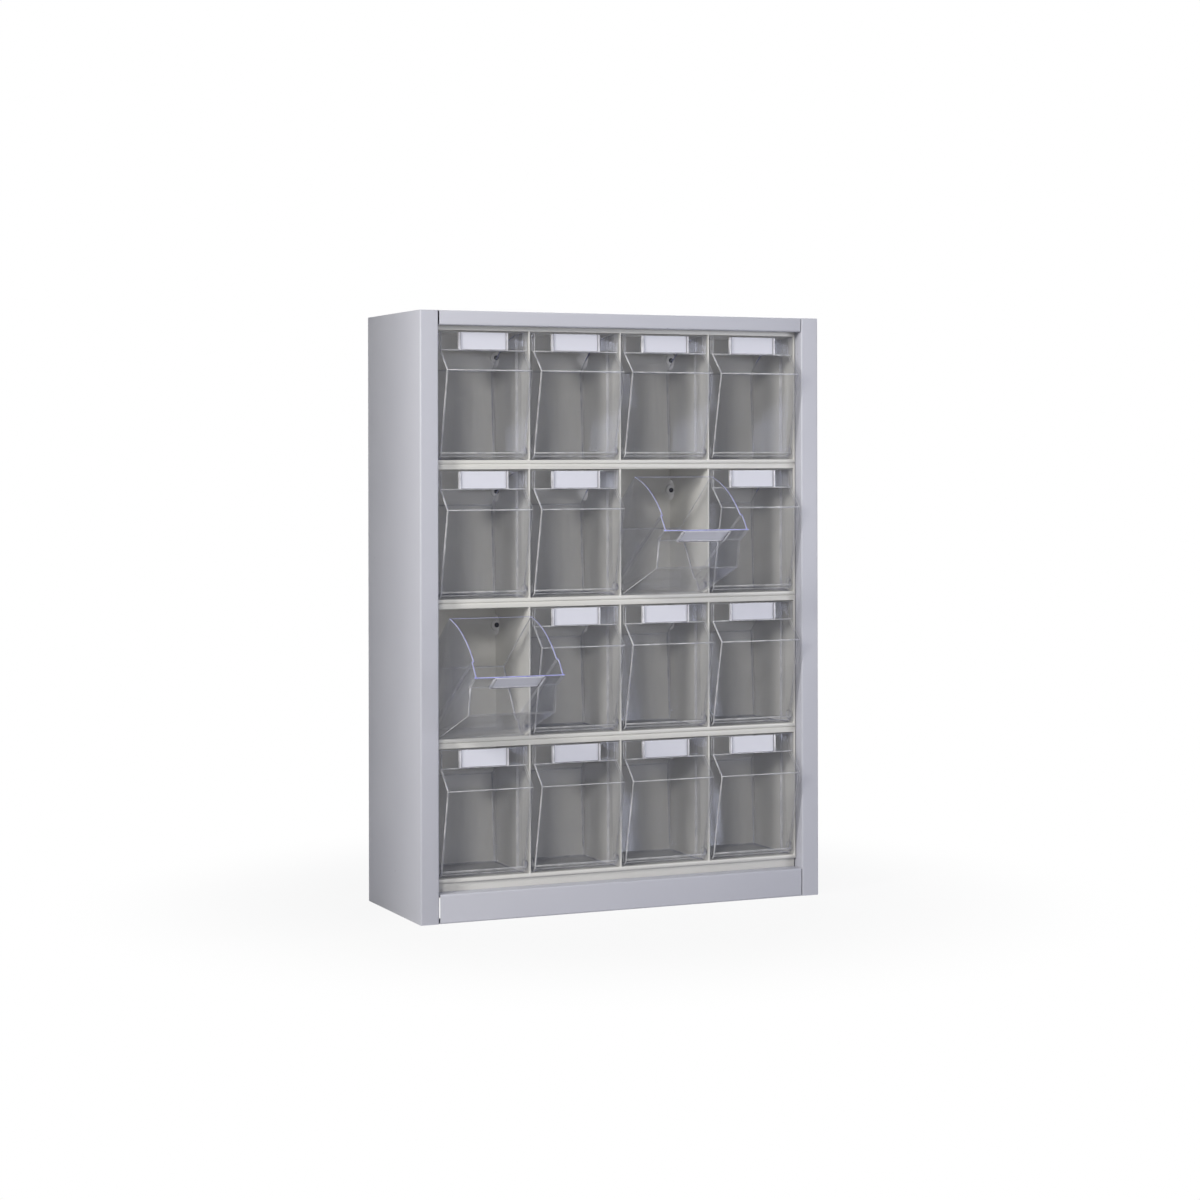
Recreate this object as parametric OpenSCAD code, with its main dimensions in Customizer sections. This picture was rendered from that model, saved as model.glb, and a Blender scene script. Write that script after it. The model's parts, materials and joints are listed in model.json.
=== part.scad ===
// Parts bin cabinet: a folded sheet-steel case holding stacked strips of clear
// tilt-out bins. Millimetres. The front faces -Y, X runs to the right, +Z is up,
// and the origin is the centre of the case's footprint on the floor.
//
// A bin is drawn in its strip's own frame: y = 0 is the strip's front plane,
// z = 0 its base and x = 0 the middle of the cell. It rocks on two moulded pins.
// Its heel is round about the pins between two flat faces: the floor, which
// lies on the cell floor when it is shut, and the foot, which lands there when
// it is open.

/* [Case] */
// Depth of the case over its front and rear flanges
case_d = 236; // [200:1:360]
// Width of each front stile
stile_w = 29; // [24:1:50]
// Depth of each stile's return into the opening
stile_return = 25; // [12:1:45]
// Height of the header's face
header_h = 21.5; // [14:0.5:40]
// Depth of the header's and base's inward lips
lip_d = 15; // [8:1:30]
// Height of the shelf's top above the floor
shelf_z = 43; // [30:1:90]
// Shadow gap between a stile and the header or plinth
panel_gap = 1.5; // [0.5:0.5:5]
// Thickness of the folded sheet
sheet_t = 1.2; // [0.8:0.1:2]
// Fold radius at the middle of the sheet
fold_r = 2; // [1.2:0.1:3]
// Width of the rear flanges
rear_flange = 22; // [14:1:32]
// Height of the back panel's lower edge above the floor
back_gap = 10; // [2:1:18]
// Thickness of the back panel
back_t = 1; // [0.6:0.1:2]
// Room between the top strip and the top of the case
top_room = 20; // [16:1:40]
// Slip clearance between the flat panels and the side panels
panel_slip = 0.5; // [0.5:0.1:1]

/* [Uprights] */
// Width of each upright bar
upright_w = 30; // [20:1:60]
// Thickness of the upright bars
upright_t = 3; // [1.5:0.5:5]

/* [Strips] */
// Number of stacked strips
rows = 4; // [2:1:4]
// Number of cells in a strip
cols = 4; // [3:1:4]
// Clear width of a cell
cell_w = 146.75; // [110:0.25:200]
// Thickness of the dividers between cells
divider_t = 2.5; // [2.4:0.1:4]
// Thickness of a strip's end walls
end_wall_t = 2.75; // [2:0.05:5]
// Height of a strip
strip_h = 206; // [180:1:260]
// Depth of a strip without the bins' noses
strip_d = 138; // [134:1:170]
// Thickness of a strip's floor, ceiling, rims and back
strip_wall = 2.5; // [1.5:0.1:4]
// Height of the cell floor above the strip's base
floor_h = 6; // [5:0.5:10]
// Drop from the strip's top to the cell ceiling
ceiling_drop = 8; // [5:0.5:14]
// Chamfer along the front edges where strips meet
rim_chamfer = 1.2; // [0.3:0.1:1.5]
// Clearance between the strips and the stiles on each side
strip_gap = 1; // [0.5:0.5:4]
// Distance from the case's front to the strips' front
strip_recess = 19.5; // [5:0.5:40]
// Room round a screw's boss in the notch of each divider's rear edge
notch_room = 7; // [3:0.5:15]
// Height of the rail under the lowest strip
rail_h = 13; // [8:1:30]
// Distance from the strips' front to the rail's front
rail_setback = 5; // [1:1:40]

/* [Bins] */
// Wall thickness of a bin
bin_wall = 2; // [1.4:0.1:3]
// Gap between a bin's label face and the divider
bin_gap = 3; // [1.5:0.1:5]
// Step from the label face in to the nose's side walls
wing_step = 2.3; // [0.5:0.1:4]
// Step from the nose's side walls in to the rear side walls
side_step = 2.7; // [0.5:0.1:6]
// Depth of the wide front part of the side walls
step_y = 27; // [20:1:45]
// Gap between the cell ceiling and the top of the label face
bin_top_gap = 2.1; // [1:0.1:5]
// Height of the label face
label_face_h = 27.5; // [22:0.5:45]
// Reach of the nose in front of the strip
nose_out = 30.5; // [10:0.5:45]
// Drop from the label face to the nose's edge
nose_drop = 29.6; // [15:0.1:50]
// Height above the cell floor where the lower front panel meets the front plane
front_foot_h = 3.5; // [1:0.1:8]
// Distance from the rear of a bin's floor to the back of its cell
bin_back_gap = 15.5; // [11.5:0.5:30]
// Backward lean of the rear wall in degrees
rear_lean = 3.7; // [0:0.1:5]
// Distance of the rim arc's centre behind the front plane
rim_centre_y = 2; // [0:0.5:4]
// Angle through which a bin tips open, in degrees
open_angle = 57; // [40:1:60]
// Distance of the pins behind the front plane
pivot_y = 9.8; // [9.2:0.1:10.6]
// Height of the pins above the cell floor
pivot_h = 12.9; // [12.4:0.1:14]
// Gap under a heel face that rests on the cell floor
rest_gap = 0.3; // [0.1:0.1:0.6]
// Length of the foot's face
foot_l = 4.5; // [3:0.5:8]
// Thickness of the foot at its tip
foot_t = 1; // [0.5:0.1:2]
// Radius of the pins
pin_r = 4; // [2.5:0.1:5]
// Length of a pin inside the divider
pin_l = 1; // [0.6:0.1:1.1]
// Radial clearance of a pin in its hole
pin_clear = 0.08; // [0.03:0.01:0.1]
// Radius of the collar round a pin
collar_r = 6; // [5.2:0.1:8]
// Side clearance between a collar and the divider
collar_gap = 0.3; // [0.2:0.1:1]

/* [Labels] */
// Width of a label card
card_w = 76; // [50:1:110]
// Thickness of a label card
card_t = 1; // [0.4:0.1:1.2]
// Distance from the label face to the front of its guides
guide_proud = 3; // [2.2:0.1:4]
// Thickness of the guides' rails and lips
guide_t = 1.2; // [0.8:0.1:1.6]
// Overlap of a guide's lip on the card
guide_lap = 2.4; // [1:0.1:5]
// Side clearance between the card and a guide
card_gap = 0.25; // [0.1:0.05:0.6]

/* [Fasteners] */
// Radius of a strip screw's shank
screw_r = 2.4; // [1.5:0.1:3]
// Radius of a strip screw's head
screw_head_r = 3.9; // [3.2:0.1:6]
// Height of a strip screw's head
screw_head_h = 2.6; // [1.5:0.1:4]
// Length of a strip screw under its head
screw_l = 14; // [9:0.5:18]
// Height of a strip screw below the strip's top
screw_drop = 42.5; // [30:0.5:60]
// Radius of the boss round a strip screw
boss_r = 9; // [6:0.5:12]
// Height of the boss
boss_h = 2; // [1:0.5:4]
// Radius of a rivet's shank
rivet_r = 1.6; // [1.2:0.1:2.4]
// Radius of a rivet's head
rivet_head_r = 3.2; // [2.6:0.1:5]
// Height of a rivet's head
rivet_head_h = 1.1; // [0.6:0.1:2]
// Rivets along each side of the back panel
side_rivets = 5; // [2:1:8]
// Rivets along the top and along the bottom of the back panel
end_rivets = 4; // [2:1:6]
// Clearance of a shank in its hole
shank_clear = 0.1; // [0.05:0.05:0.3]

/* [Hidden] */
$fn = 96;
reach = 300;               // cutter length, more than any section here
steel = [0.74, 0.75, 0.79];
steel_back = [0.66, 0.67, 0.71];
ivory = [0.93, 0.92, 0.86];
clear_plastic = [0.78, 0.80, 0.95, 0.45];
white_card = [0.96, 0.96, 0.98];
zinc = [0.62, 0.63, 0.65];
black_oxide = [0.12, 0.12, 0.14];

// bins that stand open, as [row from the top, column from the left]
open_bins = [[2, 3], [3, 1]];

// strips and case
cell_pitch = cell_w + divider_t;
strip_w = cols * cell_w + (cols - 1) * divider_t + 2 * end_wall_t;
opening_w = strip_w + 2 * strip_gap;
case_w = opening_w + 2 * stile_w;
stack_z = shelf_z + rail_h;
case_h = stack_z + rows * strip_h + top_room;
front_y = -case_d / 2;
rear_y = case_d / 2;
strip_y = front_y + strip_recess;
ceiling_z = strip_h - ceiling_drop;
back_face_y = strip_d - strip_wall;
panel_hw = opening_w / 2 - panel_gap;
inner_hw = case_w / 2 - sheet_t;
corner_r = fold_r - sheet_t / 2;
notch_y = front_y + stile_return + 1;
back_y = rear_y - sheet_t - back_t;
sheet_front = front_y + sheet_t / 2;
sheet_rear = back_y - sheet_t / 2;

// screws hold each strip at its outermost dividers
screw_x = (cols / 2 - 1) * cell_pitch;
screw_z = strip_h - screw_drop;

// bin profile, in (y, z)
bin_d = back_face_y - bin_back_gap;
wing_hw = cell_w / 2 - bin_gap;
front_hw = wing_hw - wing_step;
rear_hw = front_hw - side_step;
pivot = [pivot_y, floor_h + pivot_h];
heel_r = pivot_h - rest_gap;
bin_floor_z = floor_h + rest_gap;
label_top = [0, ceiling_z - bin_top_gap];
label_foot = label_top - [0, label_face_h];
nose = label_foot - [nose_out, nose_drop];
front_foot = [0, floor_h + front_foot_h];
rim_centre = [rim_centre_y, pivot[1]];
rim_r = norm(label_top - rim_centre);
stop_a = 270 - open_angle;          // direction of the foot's face from the pins
heel_a = (270 + stop_a) / 2;        // direction of the heel's middle
above = 2 * ceiling_z;              // height that the open outlines run up to

// unit vector at angle a
function ray(a) = [cos(a), sin(a)];
// where the line p + s*u crosses the line q + t*v
function crossing(p, u, q, v) =
    let (d = q - p, k = u[0] * v[1] - u[1] * v[0])
    p + u * (d[0] * v[1] - d[1] * v[0]) / k;
// outline moved inwards by d, for points that run anticlockwise
function inset(pts, d) = [
    for (i = [0 : len(pts) - 1])
        let (n = len(pts),
             a = pts[(i + n - 1) % n], b = pts[i], c = pts[(i + 1) % n],
             u = (b - a) / norm(b - a), v = (c - b) / norm(c - b))
        crossing(b + d * [-u[1], u[0]], u, b + d * [-v[1], v[0]], v)
];

heel_mid = pivot + heel_r * ray(heel_a);
heel_line = ray(heel_a + 90);
rear_top = [bin_d + (above - bin_floor_z) * tan(rear_lean), above];

// side view with sharp corners; moved in by the wall thickness, it is the hollow
shell_outline = [
    [0, above],
    label_foot,
    nose,
    crossing(nose, front_foot - nose, heel_mid, heel_line),
    crossing([0, bin_floor_z], [1, 0], heel_mid, heel_line),
    [bin_d, bin_floor_z],
    rear_top
];

// side view of the outside, with the foot and with the heel's corners on its circle
foot_root = pivot + heel_r * ray(stop_a);
foot_tip = foot_root + foot_l * ray(stop_a - 90);
outer_outline = [
    [0, above],
    label_foot,
    nose,
    crossing(nose, front_foot - nose, foot_tip + [0, foot_t], [1, 0]),
    foot_tip,
    foot_root,
    heel_mid,
    pivot + heel_r * ray(270),
    [bin_d, bin_floor_z],
    rear_top
];

// label card and its guides
guide_in = card_w / 2 + card_gap;
guide_out = guide_in + guide_t;
ledge_z = label_foot[1] + 0.4;
card_z = ledge_z + guide_t;
card_h = label_top[1] - 0.8 - card_z;

function bin_node(r, c) = str("bin_r", r, "_c", c);
function label_node(r, c) = str("label_r", r, "_c", c);
function housing_node(r) = str("housing_row_", r);
function strip_z(r) = stack_z + (rows - r) * strip_h;
function cell_x(c) = (c - (cols + 1) / 2) * cell_pitch;
function tipped(r, c) = len([for (b = open_bins) if (b == [r, c]) 1]) > 0 ? open_angle : 0;

// ---- helpers -------------------------------------------------------------

// a (y, z) section drawn out along X, centred
module along_x(w) {
    rotate([90, 0, 90]) linear_extrude(w, center = true) children();
}

// section of a sheet folded at right angles along its middle line
module folded_sheet(path, t, r) {
    last = len(path) - 1;
    for (i = [0 : last - 1]) {
        a = path[i];
        b = path[i + 1];
        u = (b - a) / norm(b - a);
        start = i > 0 ? r : 0;
        stop = norm(b - a) - (i < last - 1 ? r : 0);
        translate(a) rotate(atan2(u[1], u[0]))
            translate([start, -t / 2]) square([stop - start, t]);
        if (i < last - 1) {
            v = (path[i + 2] - b) / norm(path[i + 2] - b);
            translate(b - r * u + r * v) intersection() {
                difference() {
                    circle(r + t / 2);
                    circle(r - t / 2);
                }
                polygon([[0, 0], 2 * r * u, 2 * r * (u - v), -2 * r * v]);
            }
        }
    }
}

// children repeated at the middles of `count` equal shares of a length, centred
module spread(count, length, direction) {
    for (i = [0 : count - 1])
        translate(direction * length * ((i + 0.5) / count - 0.5)) children();
}

// ---- case ----------------------------------------------------------------

module side_section() {
    x_in = opening_w / 2 + sheet_t / 2;
    x_out = case_w / 2 - sheet_t / 2;
    y_front = front_y + sheet_t / 2;
    y_rear = rear_y - sheet_t / 2;
    folded_sheet([
        [x_in, front_y + stile_return],
        [x_in, y_front],
        [x_out, y_front],
        [x_out, y_rear],
        [case_w / 2 - rear_flange, y_rear]
    ], sheet_t, fold_r);
}

// side = -1 for the left panel, 1 for the right
module side_panel(side) {
    color(steel) difference() {
        mirror([side < 0 ? 1 : 0, 0, 0]) linear_extrude(case_h) side_section();
        side_rivet_places() rivet_hole();
    }
}

// a flat panel between the side panels, notched round the stiles' returns, with
// its upper face at face_z; front_fold and rear_fold are the (y, z) points at
// which the sheet runs on in front of and behind it
module flanged_panel(face_z, front_fold, rear_fold) {
    z = face_z - sheet_t / 2;
    along_x(2 * panel_hw)
        folded_sheet(concat(front_fold, [[sheet_front, z], [notch_y, z]]), sheet_t, fold_r);
    along_x(2 * (inner_hw - panel_slip))
        folded_sheet(concat([[notch_y, z], [sheet_rear, z]], rear_fold), sheet_t, fold_r);
}

// flanges that are spot-welded to the side panels
module weld_flanges(z0, z1) {
    y0 = notch_y + fold_r;
    y1 = sheet_rear - 2 * fold_r;
    for (s = [0, 1]) mirror([s, 0, 0]) translate([inner_hw - sheet_t, y0, z0])
        cube([sheet_t, y1 - y0, z1 - z0]);
}

// tongues that close the stiles' pockets
module pocket_tongues(face_z) {
    x0 = opening_w / 2 + sheet_t + panel_slip;
    y0 = front_y + sheet_t + panel_slip;
    for (s = [0, 1]) mirror([s, 0, 0]) translate([x0, y0, face_z - sheet_t])
        cube([inner_hw - panel_slip - x0, notch_y - y0 + 1, sheet_t]);
}

// lips turned in along all four sides of the base, flat on the floor
module foot_ring() {
    hw = inner_hw - panel_slip;
    y_end = sheet_rear - fold_r;
    linear_extrude(sheet_t) difference() {
        translate([-hw, notch_y]) square([2 * hw, y_end - notch_y]);
        translate([-inner_hw + lip_d, notch_y + lip_d])
            square([2 * (inner_hw - lip_d), y_end - notch_y - 2 * lip_d]);
    }
}

module top_panel() {
    low = case_h - header_h + sheet_t / 2;
    color(steel) difference() {
        union() {
            flanged_panel(case_h, [[front_y + lip_d, low], [sheet_front, low]],
                          [[sheet_rear, case_h - rear_flange]]);
            weld_flanges(case_h - lip_d, case_h);
            pocket_tongues(case_h);
        }
        end_rivet_places(case_h - rear_flange / 2) rivet_hole();
    }
}

module base_panel() {
    low = sheet_t / 2;
    color(steel) difference() {
        union() {
            flanged_panel(shelf_z, [[notch_y + lip_d, low], [sheet_front, low]],
                          [[sheet_rear, low], [sheet_rear - lip_d, low]]);
            weld_flanges(0, shelf_z);
            foot_ring();
        }
        end_rivet_places(shelf_z - rear_flange / 2) rivet_hole();
    }
}

module back_panel() {
    hw = inner_hw - corner_r - rest_gap;
    high = case_h - sheet_t - fold_r;
    color(steel_back) difference() {
        translate([-hw, back_y, back_gap]) cube([2 * hw, back_t, high - back_gap]);
        side_rivet_places() rivet_hole();
        end_rivet_places(case_h - rear_flange / 2) rivet_hole();
        end_rivet_places(shelf_z - rear_flange / 2) rivet_hole();
    }
}

// side = -1 for the left upright, 1 for the right
module upright(side) {
    color(steel_back) translate([side * screw_x, strip_y + strip_d, 0]) difference() {
        translate([-upright_w / 2, 0, shelf_z])
            cube([upright_w, upright_t, case_h - sheet_t - shelf_z]);
        for (r = [1 : rows])
            translate([0, -1, strip_z(r) + screw_z]) rotate([-90, 0, 0])
                cylinder(r = screw_r + shank_clear, h = upright_t + 2);
    }
}

// ---- strips --------------------------------------------------------------

module strip_outline() {
    c = rim_chamfer;
    polygon([[0, c], [c, 0], [strip_d, 0], [strip_d, strip_h], [c, strip_h], [0, strip_h - c]]);
}

// floor, ceiling and back with their rims, all open at the front
module strip_section() {
    inner_d = back_face_y - strip_wall;
    difference() {
        strip_outline();
        translate([-1, floor_h]) square([back_face_y + 1, ceiling_z - floor_h]);
        translate([strip_wall, -1]) square([inner_d, floor_h - strip_wall + 1]);
        translate([strip_wall, ceiling_z + strip_wall])
            square([inner_d, ceiling_drop - strip_wall + 1]);
    }
}

// a divider, notched round the screw's boss at its rear edge
module divider_section() {
    difference() {
        translate([0, floor_h]) square([back_face_y, ceiling_z - floor_h]);
        translate([back_face_y, screw_z]) circle(boss_r + notch_room);
    }
}

module housing(r) {
    color(ivory) translate([0, strip_y, strip_z(r)]) difference() {
        union() {
            along_x(strip_w) strip_section();
            for (s = [-1, 1]) translate([s * (strip_w - end_wall_t) / 2, 0, 0])
                along_x(end_wall_t) strip_outline();
            for (c = [1 : cols - 1]) translate([cell_x(c) + cell_pitch / 2, 0, 0])
                along_x(divider_t) divider_section();
            for (s = [-1, 1]) translate([s * screw_x, back_face_y - boss_h, screw_z])
                rotate([-90, 0, 0]) cylinder(r = boss_r, h = boss_h + strip_wall / 2);
        }
        for (s = [-1, 1]) translate([s * screw_x, back_face_y - boss_h - 1, screw_z])
            rotate([-90, 0, 0])
                cylinder(r = screw_r + shank_clear, h = boss_h + strip_wall + 2);
        for (c = [1 : cols]) translate([cell_x(c), pivot[0], pivot[1]])
            rotate([0, 90, 0])
                cylinder(r = pin_r + pin_clear, h = cell_w + 2 * (pin_l + rest_gap), center = true);
    }
}

module support_rail() {
    color(ivory) translate([0, strip_y + rail_setback, shelf_z]) along_x(strip_w)
        difference() {
            square([back_face_y - rail_setback, rail_h]);
            translate([strip_wall, -1])
                square([back_face_y - rail_setback - 2 * strip_wall, rail_h - strip_wall + 1]);
        }
}

// ---- bins ----------------------------------------------------------------

// children moved from a cell's own frame to the place and pose of its bin
module in_cell(r, c) {
    translate([cell_x(c), strip_y, strip_z(r)])
        translate([0, pivot[0], pivot[1]])
            rotate([tipped(r, c), 0, 0])
                translate([0, -pivot[0], -pivot[1]]) children();
}

// side view of a bin: nose, foot, round heel, floor, rear wall and curved rim
module bin_outline() {
    intersection() {
        union() {
            polygon(outer_outline);
            translate(pivot) intersection() {
                circle(heel_r);
                polygon([[0, 0], reach * ray(stop_a), reach * ray(heel_a), reach * ray(270)]);
            }
        }
        translate(rim_centre) circle(rim_r, $fn = 180);
    }
}

// the part of the side view in front of y
module in_front_of(y) {
    intersection() {
        children();
        translate([y - reach, -reach]) square([reach, 3 * reach]);
    }
}

// L-shaped guides at both ends of the card and a ledge under it
module label_guides() {
    proud = guide_proud;
    h = label_top[1] - 0.4 - ledge_z;
    for (s = [0, 1]) mirror([s, 0, 0]) translate([0, 0, ledge_z]) linear_extrude(h) {
        translate([guide_in, -proud]) square([guide_t, proud]);
        translate([guide_in - guide_lap, -proud]) square([guide_lap + guide_t, guide_t]);
    }
    translate([-guide_out, -proud, ledge_z]) cube([2 * guide_out, proud, guide_t]);
}

module pivot_pins() {
    collar_end = cell_w / 2 - collar_gap;
    for (s = [0, 1]) mirror([s, 0, 0]) translate([front_hw - bin_wall, pivot[0], pivot[1]])
        rotate([0, 90, 0]) {
            cylinder(r = collar_r, h = collar_end - front_hw + bin_wall);
            cylinder(r = pin_r, h = cell_w / 2 + pin_l - front_hw + bin_wall);
        }
}

module tilt_bin(r, c) {
    cavity = inset(shell_outline, bin_wall);
    color(clear_plastic) in_cell(r, c) union() {
        difference() {
            union() {
                along_x(2 * front_hw) in_front_of(step_y + bin_wall) bin_outline();
                along_x(2 * rear_hw) bin_outline();
                along_x(2 * wing_hw) intersection() {
                    translate(label_foot) square([bin_wall, 2 * label_face_h]);
                    translate(rim_centre) circle(rim_r, $fn = 180);
                }
            }
            along_x(2 * (front_hw - bin_wall)) in_front_of(step_y) polygon(cavity);
            along_x(2 * (rear_hw - bin_wall)) polygon(cavity);
        }
        pivot_pins();
        label_guides();
    }
}

module label_card(r, c) {
    color(white_card) in_cell(r, c)
        translate([-card_w / 2, -card_t, card_z]) cube([card_w, card_t, card_h]);
}

// ---- fasteners -----------------------------------------------------------

module strip_screw() {
    rotate([-90, 0, 0]) {
        cylinder(r = screw_r, h = screw_l);
        difference() {
            translate([0, 0, -screw_head_h]) rotate_extrude() intersection() {
                square([screw_head_r, screw_head_h]);
                translate([0, screw_head_h + 1]) circle(screw_head_r + 0.6);
            }
            translate([0, 0, -screw_head_h - 1])
                cylinder(r = screw_head_r * 0.42, h = screw_head_h * 0.6 + 1, $fn = 6);
        }
    }
}

module strip_screws() {
    color(black_oxide) for (r = [1 : rows], s = [-1, 1])
        translate([s * screw_x, strip_y + back_face_y - boss_h, strip_z(r) + screw_z])
            strip_screw();
}

module side_rivet_places() {
    for (s = [-1, 1])
        translate([s * (case_w - rear_flange) / 2, rear_y, case_h / 2])
            spread(side_rivets, case_h - 2 * rear_flange, [0, 0, 1]) children();
}

module end_rivet_places(z) {
    translate([0, back_y + back_t, z])
        spread(end_rivets, case_w - 4 * rear_flange, [1, 0, 0]) children();
}

module rivet_hole() {
    rotate([90, 0, 0])
        cylinder(r = rivet_r + shank_clear, h = 4 * (sheet_t + back_t), center = true);
}

// a blind rivet, its head's seat at the origin
module rivet() {
    dome = (rivet_head_r * rivet_head_r + rivet_head_h * rivet_head_h) / (2 * rivet_head_h);
    rotate([-90, 0, 0]) {
        translate([0, 0, -1.5 * (sheet_t + back_t)])
            cylinder(r = rivet_r, h = 1.5 * (sheet_t + back_t));
        rotate_extrude() intersection() {
            square([rivet_head_r, rivet_head_h]);
            translate([0, rivet_head_h - dome]) circle(dome);
        }
    }
}

module back_rivets() {
    color(zinc) {
        side_rivet_places() rivet();
        end_rivet_places(case_h - rear_flange / 2) rivet();
        end_rivet_places(shelf_z - rear_flange / 2) rivet();
    }
}

// ---- assembly ------------------------------------------------------------

side_panel(-1);  // left_side_panel
side_panel(1);  // right_side_panel
top_panel();
base_panel();
back_panel();
upright(-1);  // left_upright
upright(1);  // right_upright
support_rail();
for (r = [1 : rows])
    housing(r);
for (r = [1 : rows], c = [1 : cols]) {
    tilt_bin(r, c);
    label_card(r, c);
}
strip_screws();
back_rivets();
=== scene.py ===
"""Looks for a parts bin cabinet: a folded steel case, strips of cells and clear tilt-out bins.

Each sub-assembly is a class that copies the CAD nodes it stands for, rounds their edges and
gives them the finish of the real piece. Lengths are in millimetres where the name of a value or
the docstring of its class says so, and in metres elsewhere.
"""
import json
import logging
import math
from dataclasses import dataclass
from enum import Enum
from typing import Any

import bmesh
import bpy
from mathutils import Matrix, Vector

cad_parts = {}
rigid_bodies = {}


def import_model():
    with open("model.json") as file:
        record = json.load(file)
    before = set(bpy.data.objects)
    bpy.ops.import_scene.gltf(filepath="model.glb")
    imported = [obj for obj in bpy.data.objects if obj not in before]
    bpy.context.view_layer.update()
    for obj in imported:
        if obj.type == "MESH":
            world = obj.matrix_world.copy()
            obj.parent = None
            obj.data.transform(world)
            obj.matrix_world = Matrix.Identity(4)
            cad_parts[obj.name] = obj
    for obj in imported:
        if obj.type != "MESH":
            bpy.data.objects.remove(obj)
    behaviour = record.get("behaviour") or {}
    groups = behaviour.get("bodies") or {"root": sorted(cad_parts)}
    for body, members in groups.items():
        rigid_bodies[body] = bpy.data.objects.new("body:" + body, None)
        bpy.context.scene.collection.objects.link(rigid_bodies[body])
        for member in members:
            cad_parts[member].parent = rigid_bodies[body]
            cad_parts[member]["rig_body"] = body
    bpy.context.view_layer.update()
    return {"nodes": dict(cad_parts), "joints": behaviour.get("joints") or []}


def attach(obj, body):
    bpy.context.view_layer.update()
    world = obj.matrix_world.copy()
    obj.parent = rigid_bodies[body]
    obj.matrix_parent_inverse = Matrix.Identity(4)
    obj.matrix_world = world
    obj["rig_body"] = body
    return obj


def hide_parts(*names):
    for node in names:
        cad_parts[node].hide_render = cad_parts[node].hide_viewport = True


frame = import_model()

LOG = logging.getLogger("parts_bin_cabinet")
MM = 0.001
JOINED = 0.002 * MM  # corners of a CAD mesh that are nearer than this are one
SHARP = math.radians(32)  # an edge that turns more than this is rounded
SHADED = math.radians(35)  # an edge that turns more than this stays sharp in the shading
NOISE_LOW, NOISE_HIGH = 0.3, 0.7  # nearly all of a noise texture lies between these
# sockets of a colour Mix node, by number because its other data types use the same names
FACTOR, COLOUR_A, COLOUR_B, MIXED = 0, 6, 7, 2


def linear(hex_colour: str) -> tuple[float, float, float, float]:
    """Turns an sRGB hex colour into Blender's linear one, by the curve of the sRGB standard.

    Args:
        hex_colour: six hex digits after a hash sign.

    Returns:
        Red, green, blue and an alpha of 1.
    """
    parts = [int(hex_colour[i:i + 2], 16) / 255 for i in (1, 3, 5)]
    rgb = [c / 12.92 if c <= 0.04045 else ((c + 0.055) / 1.055) ** 2.4 for c in parts]
    return (rgb[0], rgb[1], rgb[2], 1.0)


def put(tree: bpy.types.NodeTree, kind: str, links: dict[Any, Any] | None = None,
        **settings: Any) -> bpy.types.Node:
    """Adds a node with its settings and links.

    Args:
        tree: the node tree that gets it.
        kind: the node's class name.
        links: socket name or number, to a plain value or to the output that feeds it.
        **settings: properties of the node, set before its sockets.

    Returns:
        The new node.
    """
    node = tree.nodes.new(kind)
    for name, value in settings.items():
        setattr(node, name, value)
    for key, value in (links or {}).items():
        if isinstance(value, bpy.types.NodeSocket):
            tree.links.new(value, node.inputs[key])
        else:
            node.inputs[key].default_value = value
    return node


def new_material(name: str) -> tuple[bpy.types.Material, bpy.types.NodeTree]:
    """Makes an empty node material.

    Args:
        name: the material's name.

    Returns:
        The material and its tree.
    """
    material = bpy.data.materials.new(name)
    material.use_nodes = True
    material.node_tree.nodes.clear()
    return material, material.node_tree


def add_object(name: str, data: bpy.types.ID) -> bpy.types.Object:
    """Adds an object to the scene.

    Args:
        name: the object's name.
        data: its mesh, lamp or camera.

    Returns:
        The object, at the origin.
    """
    added = bpy.data.objects.new(name, data)
    bpy.context.scene.collection.objects.link(added)
    return added


# ---- finishes -------------------------------------------------------------------


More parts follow.
